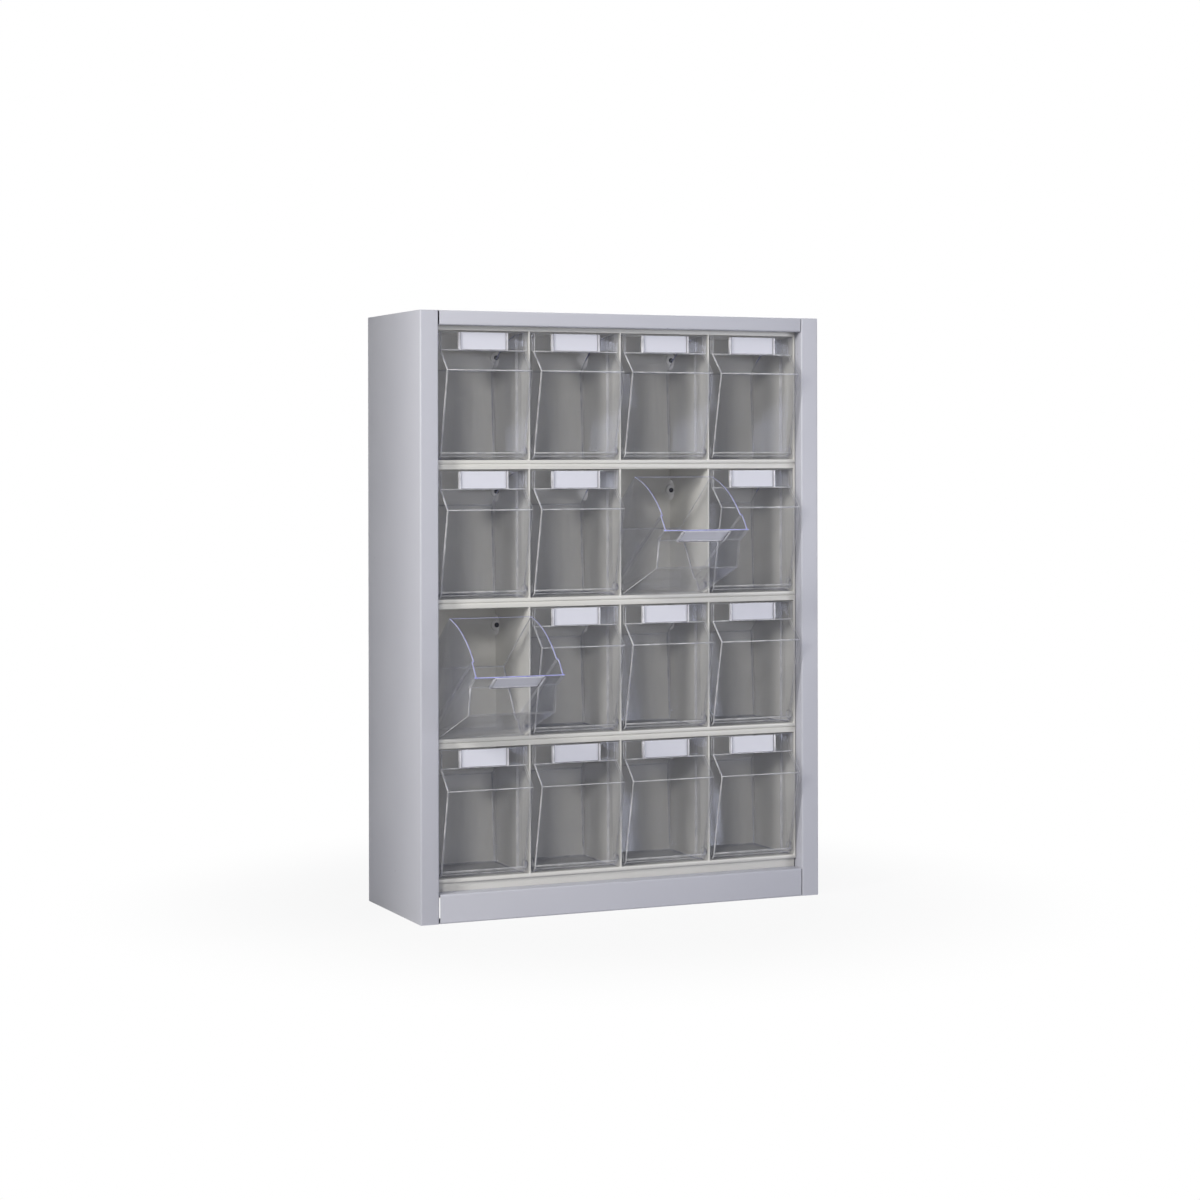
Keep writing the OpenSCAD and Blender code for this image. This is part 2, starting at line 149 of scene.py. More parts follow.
@dataclass(frozen=True)
class PowderCoat:
    """Polyester powder sprayed and baked on folded steel: an even, half-matt skin with a fine
    orange peel that breaks up reflections, and a few specks where a grain lay under it."""

    name: str = "powder_coated_steel"
    colour: str = "#c2c3cc"
    shade: str = "#bdbec8"
    speck_colour: str = "#8b8c93"
    specular: float = 0.3
    roughness: float = 0.42
    roughness_swing: float = 0.04
    peel_mm: float = 2.2
    peel_depth_mm: float = 0.012
    cloud_mm: float = 180.0
    speck_mm: float = 46.0  # from one speck to the next
    speck_size: float = 0.018  # a speck's radius, as a share of that

    def make(self) -> bpy.types.Material:
        """Builds the node material.

        Returns:
            The material.
        """
        material, tree = new_material(self.name)
        place = put(tree, "ShaderNodeTexCoord").outputs["Object"]
        cloud = put(tree, "ShaderNodeTexNoise", {
            "Vector": place, "Scale": 1 / (self.cloud_mm * MM), "Detail": 2.0})
        tone = put(tree, "ShaderNodeMix", {
            FACTOR: cloud.outputs["Fac"], COLOUR_A: linear(self.colour),
            COLOUR_B: linear(self.shade)}, data_type="RGBA")
        grains = put(tree, "ShaderNodeTexVoronoi", {
            "Vector": place, "Scale": 1 / (self.speck_mm * MM), "Randomness": 1.0})
        speck = put(tree, "ShaderNodeMath", {
            0: grains.outputs["Distance"], 1: self.speck_size}, operation="LESS_THAN")
        colour = put(tree, "ShaderNodeMix", {
            FACTOR: speck.outputs[0], COLOUR_A: tone.outputs[MIXED],
            COLOUR_B: linear(self.speck_colour)}, data_type="RGBA")
        # orange peel, 2.2 mm from crest to crest, as sprayed powder levels out
        peel = put(tree, "ShaderNodeTexNoise", {
            "Vector": place, "Scale": 1 / (self.peel_mm * MM), "Detail": 1.0})
        bump = put(tree, "ShaderNodeBump", {
            "Strength": 1.0, "Distance": self.peel_depth_mm * MM,
            "Height": peel.outputs["Fac"]})
        gloss = put(tree, "ShaderNodeMapRange", {
            "Value": cloud.outputs["Fac"], "From Min": NOISE_LOW, "From Max": NOISE_HIGH,
            "To Min": self.roughness - self.roughness_swing,
            "To Max": self.roughness + self.roughness_swing})
        surface = put(tree, "ShaderNodeBsdfPrincipled", {
            "Base Color": colour.outputs[MIXED], "Roughness": gloss.outputs[0],
            "Specular IOR Level": self.specular, "Normal": bump.outputs[0]})
        put(tree, "ShaderNodeOutputMaterial", {"Surface": surface.outputs[0]})
        return material


@dataclass(frozen=True)
class MouldedIvory:
    """Injection-moulded high-impact polystyrene in off-white: a smooth satin skin with faint
    flow clouds and the very fine spark-eroded texture of its tool."""

    name: str = "off_white_polystyrene"
    colour: str = "#d7d6d3"
    shade: str = "#d2d1cd"
    roughness: float = 0.36
    flow_mm: float = 60.0
    flow_swirl: float = 0.6
    texture_mm: float = 0.9
    texture_depth_mm: float = 0.006

    def make(self) -> bpy.types.Material:
        """Builds the node material.

        Returns:
            The material.
        """
        material, tree = new_material(self.name)
        place = put(tree, "ShaderNodeTexCoord").outputs["Object"]
        flow = put(tree, "ShaderNodeTexNoise", {
            "Vector": place, "Scale": 1 / (self.flow_mm * MM), "Detail": 3.0,
            "Distortion": self.flow_swirl})
        colour = put(tree, "ShaderNodeMix", {
            FACTOR: flow.outputs["Fac"], COLOUR_A: linear(self.colour),
            COLOUR_B: linear(self.shade)}, data_type="RGBA")
        # spark texture, drawn at 0.9 mm where the real one has 0.1 mm, so that it shows
        spark = put(tree, "ShaderNodeTexNoise", {
            "Vector": place, "Scale": 1 / (self.texture_mm * MM), "Detail": 2.0})
        bump = put(tree, "ShaderNodeBump", {
            "Strength": 1.0, "Distance": self.texture_depth_mm * MM,
            "Height": spark.outputs["Fac"]})
        surface = put(tree, "ShaderNodeBsdfPrincipled", {
            "Base Color": colour.outputs[MIXED], "Roughness": self.roughness,
            "Normal": bump.outputs[0]})
        put(tree, "ShaderNodeOutputMaterial", {"Surface": surface.outputs[0]})
        return material


@dataclass(frozen=True)
class ClearPolystyrene:
    """Injection-moulded general-purpose polystyrene, polished: light passes straight through
    the thin wall, with a mirror sheen that grows towards grazing views and a very faint haze."""

    name: str = "clear_polystyrene"
    tint: str = "#fefefe"
    sheen: str = "#a9acba"
    haze_share: float = 0.004
    facing_share: float = 0.032  # what mirrors where the wall is seen straight on
    grazing_share: float = 0.9  # and where it is seen edge on
    grazing_power: float = 5.0
    roughness: float = 0.06
    metallic: float = 0.75
    wave_mm: float = 70.0
    wave_depth_mm: float = 0.25
    wave_strength: float = 0.6
    streak_mm: float = 9.0
    streak_stretch: float = 20.0  # a streak's length over its width
    streak_share: float = 0.025
    streak_noise: tuple[float, float] = (0.5, 0.8)  # where a streak begins and is densest

    def make(self) -> bpy.types.Material:
        """Builds the node material.

        Returns:
            The material.
        """
        material, tree = new_material(self.name)
        place = put(tree, "ShaderNodeTexCoord").outputs["Object"]
        # long shallow waves, 70 mm apart, that the flow of the melt leaves in a thin wall
        wave = put(tree, "ShaderNodeTexNoise", {
            "Vector": place, "Scale": 1 / (self.wave_mm * MM), "Detail": 1.0})
        bump = put(tree, "ShaderNodeBump", {
            "Strength": self.wave_strength, "Distance": self.wave_depth_mm * MM,
            "Height": wave.outputs["Fac"]})
        through = put(tree, "ShaderNodeBsdfTransparent", {"Color": linear(self.tint)})
        gloss = put(tree, "ShaderNodeBsdfPrincipled", {
            "Base Color": linear(self.sheen), "Roughness": self.roughness,
            "Metallic": self.metallic, "Normal": bump.outputs[0]})
        # Schlick's curve, the same from both sides of the wall. Its low end is a little under
        # the 0.05 that a refractive index of 1.59 gives, to match how clear the real walls look
        grazing = put(tree, "ShaderNodeLayerWeight", {"Blend": 0.5, "Normal": bump.outputs[0]})
        curve = put(tree, "ShaderNodeMath", {
            0: grazing.outputs["Facing"], 1: self.grazing_power}, operation="POWER")
        share = put(tree, "ShaderNodeMapRange", {
            "Value": curve.outputs[0], "To Min": self.facing_share + self.haze_share,
            "To Max": self.grazing_share})
        # upright flow streaks, 9 mm apart and some 180 mm long, where the haze is denser
        stretch = put(tree, "ShaderNodeVectorMath", {
            0: place, 1: (1.0, 1.0, 1 / self.streak_stretch)}, operation="MULTIPLY")
        streak = put(tree, "ShaderNodeTexNoise", {
            "Vector": stretch.outputs[0], "Scale": 1 / (self.streak_mm * MM), "Detail": 2.0})
        begins, densest = self.streak_noise
        extra = put(tree, "ShaderNodeMapRange", {
            "Value": streak.outputs["Fac"], "From Min": begins, "From Max": densest,
            "To Min": 0.0, "To Max": self.streak_share})
        total = put(tree, "ShaderNodeMath", {
            0: share.outputs[0], 1: extra.outputs[0]}, operation="ADD")
        wall = put(tree, "ShaderNodeMixShader", {
            0: total.outputs[0], 1: through.outputs[0], 2: gloss.outputs[0]})
        put(tree, "ShaderNodeOutputMaterial", {"Surface": wall.outputs[0]})
        return material


@dataclass(frozen=True)
class ClearEdge:
    """A narrow rim, crease or card guide of the clear bins, painted to read as a thin line: painted
    light, violet-blue at the rims, where light led along the wall comes out; a painted highlight,
    nearly white, at the creases and the guides; and a painted shadow, grey, along the guides' edges."""

    name: str = "clear_polystyrene_rim_painted_light"
    # painted light: the violet-blue and pale lavender stand in for the light that the rim leads out
    tint: str = "#7077cf"
    painted_light_and_shade: str = "#a9aefc"
    solid_share: float = 0.75
    share_swing: float = 0.15
    roughness: float = 0.15
    refraction: float = 1.59
    fleck_mm: float = 14.0

    def make(self) -> bpy.types.Material:
        """Builds the node material.

        Returns:
            The material.
        """
        material, tree = new_material(self.name)
        place = put(tree, "ShaderNodeTexCoord").outputs["Object"]
        # the painted light swells and fades along the edge every 14 mm or so
        fleck = put(tree, "ShaderNodeTexNoise", {
            "Vector": place, "Scale": 1 / (self.fleck_mm * MM), "Detail": 2.0})
        share = put(tree, "ShaderNodeMapRange", {
            "Value": fleck.outputs["Fac"], "From Min": NOISE_LOW, "From Max": NOISE_HIGH,
            "To Min": self.solid_share - self.share_swing,
            "To Max": self.solid_share + self.share_swing})
        through = put(tree, "ShaderNodeBsdfTransparent", {"Color": linear(self.tint)})
        gloss = put(tree, "ShaderNodeBsdfPrincipled", {
            "Base Color": linear(self.painted_light_and_shade), "Roughness": self.roughness,
            "IOR": self.refraction})
        wall = put(tree, "ShaderNodeMixShader", {
            0: share.outputs[0], 1: through.outputs[0], 2: gloss.outputs[0]})
        put(tree, "ShaderNodeOutputMaterial", {"Surface": wall.outputs[0]})
        return material


@dataclass(frozen=True)
class LabelCard:
    """Uncoated white card, cut to slide into the bin's holder: matt, with a faint fibre."""

    name: str = "white_card"
    colour: str = "#e0e1eb"
    shade: str = "#dadbe5"
    roughness: float = 0.85
    fibre_mm: float = 1.4

    def make(self) -> bpy.types.Material:
        """Builds the node material.

        Returns:
            The material.
        """
        material, tree = new_material(self.name)
        place = put(tree, "ShaderNodeTexCoord").outputs["Object"]
        fibre = put(tree, "ShaderNodeTexNoise", {
            "Vector": place, "Scale": 1 / (self.fibre_mm * MM), "Detail": 4.0})
        colour = put(tree, "ShaderNodeMix", {
            FACTOR: fibre.outputs["Fac"], COLOUR_A: linear(self.colour),
            COLOUR_B: linear(self.shade)}, data_type="RGBA")
        surface = put(tree, "ShaderNodeBsdfPrincipled", {
            "Base Color": colour.outputs[MIXED], "Roughness": self.roughness})
        put(tree, "ShaderNodeOutputMaterial", {"Surface": surface.outputs[0]})
        return material


@dataclass(frozen=True)
class BareMetal:
    """A metal fastener with fine handling marks that break up its gleam: black oxide keeps a
    steel screw dark and dull, and drawn aluminium leaves a rivet bright."""

    name: str
    colour: str
    metallic: float
    roughness: float
    roughness_swing: float = 0.08
    mark_mm: float = 0.8

    def make(self) -> bpy.types.Material:
        """Builds the node material.

        Returns:
            The material.
        """
        material, tree = new_material(self.name)
        place = put(tree, "ShaderNodeTexCoord").outputs["Object"]
        marks = put(tree, "ShaderNodeTexNoise", {
            "Vector": place, "Scale": 1 / (self.mark_mm * MM), "Detail": 3.0})
        rough = put(tree, "ShaderNodeMapRange", {
            "Value": marks.outputs["Fac"], "To Min": self.roughness - self.roughness_swing,
            "To Max": self.roughness + self.roughness_swing})
        surface = put(tree, "ShaderNodeBsdfPrincipled", {
            "Base Color": linear(self.colour), "Metallic": self.metallic,
            "Roughness": rough.outputs[0]})
        put(tree, "ShaderNodeOutputMaterial", {"Surface": surface.outputs[0]})
        return material


class Finish(Enum):
    """The finishes of the cabinet, each with the record's slot that it belongs to."""

    STEEL = ("coated_steel", PowderCoat())
    # the same coat, painted darker for the back panel and the uprights: painted shade
    SHADED_BACK_STEEL = ("coated_steel_back", PowderCoat(
        name="powder_coated_steel_back_painted_shade", colour="#b4b5bc", shade="#aeafb7"))
    IVORY = ("ivory_plastic", MouldedIvory())
    CLEAR = ("clear_plastic", ClearPolystyrene())
    PAINTED_RIM_LIGHT = ("clear_plastic", ClearEdge())
    # painted highlight on the creases in white, with a dark blue tint that paints the shade along
    # them
    CREASE = ("clear_plastic", ClearEdge(
        name="clear_polystyrene_crease_painted_highlight", tint="#565b8c", painted_light_and_shade="#ffffff", solid_share=0.48))
    # the clear guides painted nearly white: a painted highlight
    GUIDE = ("clear_plastic", ClearEdge(
        name="clear_polystyrene_guide", tint="#f4f4f8", painted_light_and_shade="#f0f0f6", solid_share=0.62))
    # painted shadow: the dark line of the gap between the guide and the card
    PAINTED_GUIDE_SHADOW = ("clear_plastic", ClearEdge(
        name="clear_polystyrene_guide_shadow", tint="#6a6a76", painted_light_and_shade="#3f3f47", solid_share=0.7))
    CARD = ("label_card", LabelCard())
    BLACK = ("black_steel", BareMetal(
        name="black_oxide_steel", colour="#26262a", metallic=0.9, roughness=0.42))
    RIVET = ("rivet_metal", BareMetal(
        name="aluminium_rivet", colour="#c6c8cb", metallic=1.0, roughness=0.34))

    @property
    def slot(self) -> str:
        """The record's material slot."""
        return self.value[0]

    def material(self) -> bpy.types.Material:
        """The finish's material, built the first time it is asked for."""
        look = self.value[1]
        return bpy.data.materials.get(look.name) or look.make()


# ---- pieces ---------------------------------------------------------------------


def joined_mesh(node: str) -> bmesh.types.BMesh:
    """Copies a CAD node's mesh, with the vertices that its faces share joined.

    Args:
        node: the CAD node.

    Returns:
        The joined mesh, which the caller frees.
    """
    mesh = bmesh.new()
    mesh.from_mesh(frame["nodes"][node].data)
    bmesh.ops.remove_doubles(mesh, verts=mesh.verts, dist=JOINED)
    return mesh


def stand_in(node: str, mesh: bmesh.types.BMesh, finishes: list[Finish], bevel_mm: float,
             bevel_material: int = -1, segments: int = 2,
             limit: str = "ANGLE") -> bpy.types.Object:
    """Makes the piece that is shown in a CAD node's place, with its edges rounded.

    Args:
        node: the CAD node that it replaces.
        mesh: the piece's mesh, which is freed here.
        finishes: its finishes, in the order of the faces' material numbers.
        bevel_mm: width of the rounding on its edges.
        bevel_material: material number of the rounded edges, or -1 for their neighbours'.
        segments: faces across a rounded edge.
        limit: what picks the rounded edges, ANGLE or WEIGHT.

    Returns:
        The piece, riding on the node's body.
    """
    data = bpy.data.meshes.new(f"{node}_dressed")
    mesh.to_mesh(data)
    mesh.free()
    for finish in finishes:
        data.materials.append(finish.material())
    piece = add_object(f"{node}_dressed", data)
    bevel = piece.modifiers.new("edges", "BEVEL")
    bevel.width = bevel_mm * MM
    bevel.segments = segments
    bevel.limit_method = limit
    bevel.angle_limit = SHARP
    bevel.use_clamp_overlap = False
    bevel.material = bevel_material
    bevel.miter_outer = "MITER_ARC"
    show(piece, node)
    return piece


def show(piece: bpy.types.Object, node: str) -> None:
    """Turns a piece into a plain mesh and shows it in a CAD node's place.

    Args:
        piece: the piece, with the modifier that shapes it.
        node: the CAD node that it replaces.
    """
    rough = piece.data
    plain = bpy.data.meshes.new_from_object(
        piece.evaluated_get(bpy.context.evaluated_depsgraph_get()))
    piece.modifiers.clear()
    piece.data = plain
    bpy.data.meshes.remove(rough)
    plain.name = piece.name
    shade_smooth(plain)
    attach(piece, frame["nodes"][node]["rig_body"])
    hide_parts(node)
    LOG.info("%s: %d faces, stands for %s", piece.name, len(piece.data.polygons), node)


def shade_smooth(data: bpy.types.Mesh) -> None:
    """Shades a mesh smooth, apart from its sharp edges.

    Args:
        data: the mesh.
    """
    mesh = bmesh.new()
    mesh.from_mesh(data)
    for face in mesh.faces:
        face.smooth = True
    for edge in mesh.edges:
        edge.smooth = len(edge.link_faces) == 2 and edge.calc_face_angle(0.0) < SHADED
    mesh.to_mesh(data)
    mesh.free()


@dataclass
class SheetCase:
    """The folded and spot-welded case: side panels, top, base, back and uprights."""

    bevel_mm: float = 0.35
    shown: tuple[str, ...] = ("left_side_panel", "right_side_panel", "top_panel", "base_panel")
    hidden: tuple[str, ...] = ("back_panel", "left_upright", "right_upright")

    def build(self) -> None:
        """Dresses every sheet of the case."""
        for node in self.shown:
            stand_in(node, joined_mesh(node), [Finish.STEEL], self.bevel_mm)
        # the back panel and the uprights take the coat painted darker: painted shade
        for node in self.hidden:
            stand_in(node, joined_mesh(node), [Finish.SHADED_BACK_STEEL], self.bevel_mm)


@dataclass
class CellStrips:
    """The moulded strips, each one housing with four cells, and the rail under the lowest."""

    rows: int = 4
    bevel_mm: float = 0.5

    def build(self) -> None:
        """Dresses the housings and the rail."""
        housings = [f"housing_row_{row}" for row in range(1, self.rows + 1)]
        for node in (*housings, "support_rail"):
            stand_in(node, joined_mesh(node), [Finish.IVORY], self.bevel_mm)


@dataclass
class TiltBins:
    """The clear bins with their label cards. Sizes are in mm, and places are in a shut bin's
    own frame: from its pins, y towards the rear and z up."""

    rows: int = 4
    columns: int = 4
    crease_mm: float = 1.0
    edge_mm: float = 0.45
    card_edge_mm: float = 0.15
    facet_deg: float = 20.0  # faces that turn less than this from each other are one surface
    thin_mm: float = 4.0  # a surface narrower than this is the edge of a wall
    rim_centre: tuple[float, float] = (-7.8, 0.0)
    rim_r: float = 177.0
    rim_slack: float = 1.0
    rim_end_shut: float = 100.0  # how far back the rim's finish goes on a shut bin
    rim_end_open: float = 140.0  # and on one that stands open
    open_rad: float = 0.1  # a bin that is turned by more than this stands open
    guides_from: tuple[float, float] = (-9.9, 149.9)  # in front of and above it are the guides
    finishes: tuple[Finish, ...] = (Finish.CLEAR, Finish.PAINTED_RIM_LIGHT, Finish.CREASE, Finish.GUIDE,
                                    Finish.PAINTED_GUIDE_SHADOW)

    def number(self, finish: Finish) -> int:
        """The material number that a bin's faces have for a finish."""
        return self.finishes.index(finish)

    def shut_frame(self, row: int, column: int) -> Matrix:
        """Finds the turn from the scene to a bin's own frame, as it is when shut.

        Args:
            row: the bin's row, from the top.
            column: the bin's column, from the left.

        Returns:
            The matrix.
        """
        joint = next(j for j in frame["joints"] if j["name"] == f"tilt_r{row}_c{column}")
        turn = Matrix.Rotation(math.radians(joint["range_deg"][0]), 4, "X")
        return turn @ Matrix.Translation(-Vector(joint["pos_m"]))

    def surfaces(self, mesh: bmesh.types.BMesh) -> list[tuple[set[bmesh.types.BMFace], float]]:
        """Splits a bin's faces into surfaces, so that the heel's facets count as one with the floor.

        Args:
            mesh: the bin's mesh.

        Returns:
            The faces of each surface and its mean width, twice its area over its outline.
        """
        crease = math.radians(self.facet_deg)
        found = []
        left = set(mesh.faces)
        while left:
            surface, front, outline = set(), [left.pop()], 0.0
            while front:
                face = front.pop()
                surface.add(face)
                for edge in face.edges:
                    others = [f for f in edge.link_faces if f is not face]
                    if others and edge.calc_face_angle(math.pi) < crease:
                        front += [f for f in others if f in left]
                        left.difference_update(others)
                    else:
                        outline += edge.calc_length()
            area = sum(f.calc_area() for f in surface)
            found.append((surface, 2 * area / outline if outline else math.inf))
        return found

    def mark_surfaces(self, mesh: bmesh.types.BMesh, to_shut: Matrix) -> None:
        """Gives a bin's rim its painted light and the card's guides their painted highlight, and
        every sharp edge its width.

        A crease between two walls is rounded widely, and an edge of a thin surface narrowly.
        The rear edge takes the rim's painted light only on a bin that stands open, where light
        comes down on it.

        Args:
            mesh: the bin's mesh.
            to_shut: the turn to the bin's own frame.
        """
        stands_open = abs(to_shut.to_euler().x) > self.open_rad
        rim_end = self.rim_end_open if stands_open else self.rim_end_shut
        thin = set()
        for surface, width in self.surfaces(mesh):
            if width < self.thin_mm * MM:
                thin |= surface
            for face in surface:
                middle = to_shut @ face.calc_center_median()
                if self.on_guides(middle):
                    face.material_index = self.number(Finish.GUIDE)
                    thin.add(face)
                elif face in thin and middle.y < rim_end * MM and self.on_rim(middle):
                    face.material_index = self.number(Finish.PAINTED_RIM_LIGHT)
        weight = mesh.edges.layers.float.new("bevel_weight_edge")
        for edge in mesh.edges:
            if edge.calc_face_angle(0.0) > SHARP:
                is_thin = any(face in thin for face in edge.link_faces)
                edge[weight] = self.edge_mm / self.crease_mm if is_thin else 1.0

    def on_guides(self, point: Vector) -> bool:
        """True if a point of the shut bin's frame is on the card's guides."""
        return point.y < self.guides_from[0] * MM and point.z > self.guides_from[1] * MM

    def on_rim(self, point: Vector) -> bool:
        """True if a point of the shut bin's frame is on the curve that the rim is struck to."""
        reach = math.hypot(point.y - self.rim_centre[0] * MM, point.z - self.rim_centre[1] * MM)
        return abs(reach - self.rim_r * MM) < self.rim_slack * MM

    def dress(self, row: int, column: int) -> None:
        """Dresses one bin and its card.

        Args:
            row: the bin's row, from the top.
            column: the bin's column, from the left.
        """
        node = f"bin_r{row}_c{column}"
        to_shut = self.shut_frame(row, column)
        mesh = joined_mesh(node)
        self.mark_surfaces(mesh, to_shut)
        crease = self.number(Finish.CREASE)
        piece = stand_in(node, mesh, list(self.finishes), self.crease_mm,
                         bevel_material=crease, limit="WEIGHT")
        # the rounding gave the guides' edges the finish of the creases; they take the painted shadow
        # of the gap between guide and card instead
        for face in piece.data.polygons:
            if face.material_index == crease and self.on_guides(to_shut @ face.center):
                face.material_index = self.number(Finish.PAINTED_GUIDE_SHADOW)
        card = f"label_r{row}_c{column}"
        stand_in(card, joined_mesh(card), [Finish.CARD], self.card_edge_mm, segments=1)

    def build(self) -> None:
        """Dresses every bin and card."""
        for row in range(1, self.rows + 1):
            for column in range(1, self.columns + 1):
                self.dress(row, column)


@dataclass(frozen=True)
class FastenerForm:
    """One kind of fastener, with its head's seat at the origin and its head up, in mm. Its head
    faces the rear of the cabinet where `towards` is 1, and the front where it is -1."""

    node: str
    finish: Finish
    towards: int
    head_r: float
    head_h: float
    shank_r: float
    shank_l: float
    recess_r: float
    recess_h: float
    recess_sides: int


@dataclass
class Fasteners:
    """Rivets and screws: one turned form for each kind, repeated by Geometry Nodes."""

    sides: int = 28
    head_rings: int = 7
    dome: float = 0.86  # 0 leaves a head's side straight, 1 makes it a full dome
    seed: int = 7
    forms: tuple[FastenerForm, ...] = (
        FastenerForm(
            node="strip_screws", finish=Finish.BLACK, towards=-1, head_r=3.9, head_h=2.6,
            shank_r=2.4, shank_l=14.0, recess_r=1.7, recess_h=1.6, recess_sides=6),
        FastenerForm(
            node="back_rivets", finish=Finish.RIVET, towards=1, head_r=3.2, head_h=1.1,
            shank_r=1.6, shank_l=3.3, recess_r=0.9, recess_h=0.6, recess_sides=14))
    inputs: tuple[tuple[str, tuple[str, ...]], ...] = (
        ("NodeSocketGeometry", ("Places",)),
        ("NodeSocketFloat", ("Head radius", "Head height", "Shank radius", "Shank length",
                             "Recess radius", "Recess depth", "Dome")),
        ("NodeSocketInt", ("Sides", "Recess sides", "Seed")),
        ("NodeSocketVector", ("Least turn", "Most turn")),
        ("NodeSocketMaterial", ("Material",)))

    def places(self, form: FastenerForm) -> list[Vector]:
        """Finds where the fasteners of a CAD node have their heads' seats.

        Args:
            form: the kind of fastener.

        Returns:
            The middle of each seat, from the lowest row up and from left to right.
        """
        mesh = joined_mesh(form.node)
        left = set(mesh.verts)
        seats = []
        while left:
            solid, front = [], [left.pop()]
            while front:
                vert = front.pop()
                solid.append(vert.co)
                others = {e.other_vert(vert) for e in vert.link_edges} & left
                left -= others
                front += others
            low = Vector(min(c[i] for c in solid) for i in range(3))
            high = Vector(max(c[i] for c in solid) for i in range(3))
            seat = (low + high) / 2
            head_end = high.y if form.towards > 0 else low.y
            seat.y = head_end - form.towards * form.head_h * MM
            seats.append(seat)
        mesh.free()
        return sorted(seats, key=lambda v: (round(v.z, 4), round(v.x, 4)))

    def rod(self, tree: bpy.types.NodeTree, size: dict[str, Any],
            lift: float) -> bpy.types.NodeSocket:
        """Adds the nodes of an upright cylinder.

        Args:
            tree: the node tree that gets them.
            size: inputs of the cylinder's node, its depth among them.
            lift: how far its middle is above the seat, as a share of its depth.

        Returns:
            The geometry's output.
        """
        body = put(tree, "GeometryNodeMeshCylinder", size)
        rise = put(tree, "ShaderNodeMath", {0: size["Depth"], 1: lift}, operation="MULTIPLY")
        move = put(tree, "ShaderNodeCombineXYZ", {"Z": rise.outputs[0]})
        return put(tree, "GeometryNodeTransform", {
            "Geometry": body.outputs["Mesh"], "Translation": move.outputs[0]}).outputs[0]

    def domed_head(self, tree: bpy.types.NodeTree, given: Any) -> bpy.types.NodeSocket:
        """Adds the nodes of a head whose side narrows towards its top.

        Args:
            tree: the node tree that gets them.
            given: the outputs of its input node.

        Returns:
            The geometry's output.
        """
        straight = self.rod(tree, {
            "Vertices": given["Sides"], "Side Segments": self.head_rings,
            "Radius": given["Head radius"], "Depth": given["Head height"]}, 0.5)
        at = put(tree, "ShaderNodeSeparateXYZ", {
            0: put(tree, "GeometryNodeInputPosition").outputs[0]}).outputs
        high = put(tree, "ShaderNodeMath", {
            0: at["Z"], 1: given["Head height"]}, operation="DIVIDE")
        square = put(tree, "ShaderNodeMath", {
            0: high.outputs[0], 1: high.outputs[0]}, operation="MULTIPLY")
        drop = put(tree, "ShaderNodeMath", {
            0: square.outputs[0], 1: given["Dome"]}, operation="MULTIPLY")
        rest = put(tree, "ShaderNodeMath", {0: 1.0, 1: drop.outputs[0]}, operation="SUBTRACT")
        width = put(tree, "ShaderNodeMath", {0: rest.outputs[0]}, operation="SQRT").outputs[0]
        across = [put(tree, "ShaderNodeMath", {0: at[axis], 1: width},
                      operation="MULTIPLY").outputs[0] for axis in ("X", "Y")]
        place = put(tree, "ShaderNodeCombineXYZ", {
            "X": across[0], "Y": across[1], "Z": at["Z"]})
        return put(tree, "GeometryNodeSetPosition", {
            "Geometry": straight, "Position": place.outputs[0]}).outputs[0]

    def recess(self, tree: bpy.types.NodeTree, given: Any,
               head: bpy.types.NodeSocket) -> bpy.types.NodeSocket:
        """Adds the nodes that cut the recess into a head's top.

        Args:
            tree: the node tree that gets them.
            given: the outputs of its input node.
            head: the output with the head.

        Returns:
            The output with the head that is left.
        """
        # the cutter is centred on the top, so half of its depth goes into the head
        double = put(tree, "ShaderNodeMath", {
            0: given["Recess depth"], 1: 2.0}, operation="MULTIPLY").outputs[0]
        cutter = put(tree, "GeometryNodeMeshCylinder", {
            "Vertices": given["Recess sides"], "Radius": given["Recess radius"],
            "Depth": double})
        top = put(tree, "ShaderNodeCombineXYZ", {"Z": given["Head height"]})
        raised = put(tree, "GeometryNodeTransform", {
            "Geometry": cutter.outputs["Mesh"], "Translation": top.outputs[0]})
        return put(tree, "GeometryNodeMeshBoolean", {
            "Mesh 1": head, "Mesh 2": raised.outputs[0]},
            operation="DIFFERENCE").outputs["Mesh"]

    def tree(self) -> bpy.types.NodeTree:
        """Builds the node tree that turns a fastener and sets one on every point.

        Returns:
            The Geometry Nodes tree, with a named input for each size.
        """
        tree = bpy.data.node_groups.new("fasteners_on_points", "GeometryNodeTree")
        for kind, names in self.inputs:
            for name in names:
                tree.interface.new_socket(name, in_out="INPUT", socket_type=kind)
        tree.interface.new_socket(
            "Fasteners", in_out="OUTPUT", socket_type="NodeSocketGeometry")
        given = put(tree, "NodeGroupInput").outputs
        head = self.recess(tree, given, self.domed_head(tree, given))
        shank = self.rod(tree, {
            "Vertices": given["Sides"], "Side Segments": 1,
            "Radius": given["Shank radius"], "Depth": given["Shank length"]}, -0.5)
        whole = put(tree, "GeometryNodeJoinGeometry", {0: head})
        tree.links.new(shank, whole.inputs[0])
        # the node repeats its sockets' names for each data type, and enables the chosen one's
        turn = put(tree, "FunctionNodeRandomValue", data_type="FLOAT_VECTOR")
        for name, source in (("Min", "Least turn"), ("Max", "Most turn"), ("Seed", "Seed")):
            wanted = next(i for i in turn.inputs if i.name == name and i.enabled)
            tree.links.new(given[source], wanted)
        each = put(tree, "GeometryNodeInstanceOnPoints", {
            "Points": given["Places"], "Instance": whole.outputs[0],
            "Rotation": turn.outputs["Value"]})
        real = put(tree, "GeometryNodeRealizeInstances", {0: each.outputs[0]})
        last = put(tree, "GeometryNodeSetMaterial", {
            "Geometry": real.outputs[0], "Material": given["Material"]})
        put(tree, "NodeGroupOutput", {0: last.outputs[0]})
        return tree

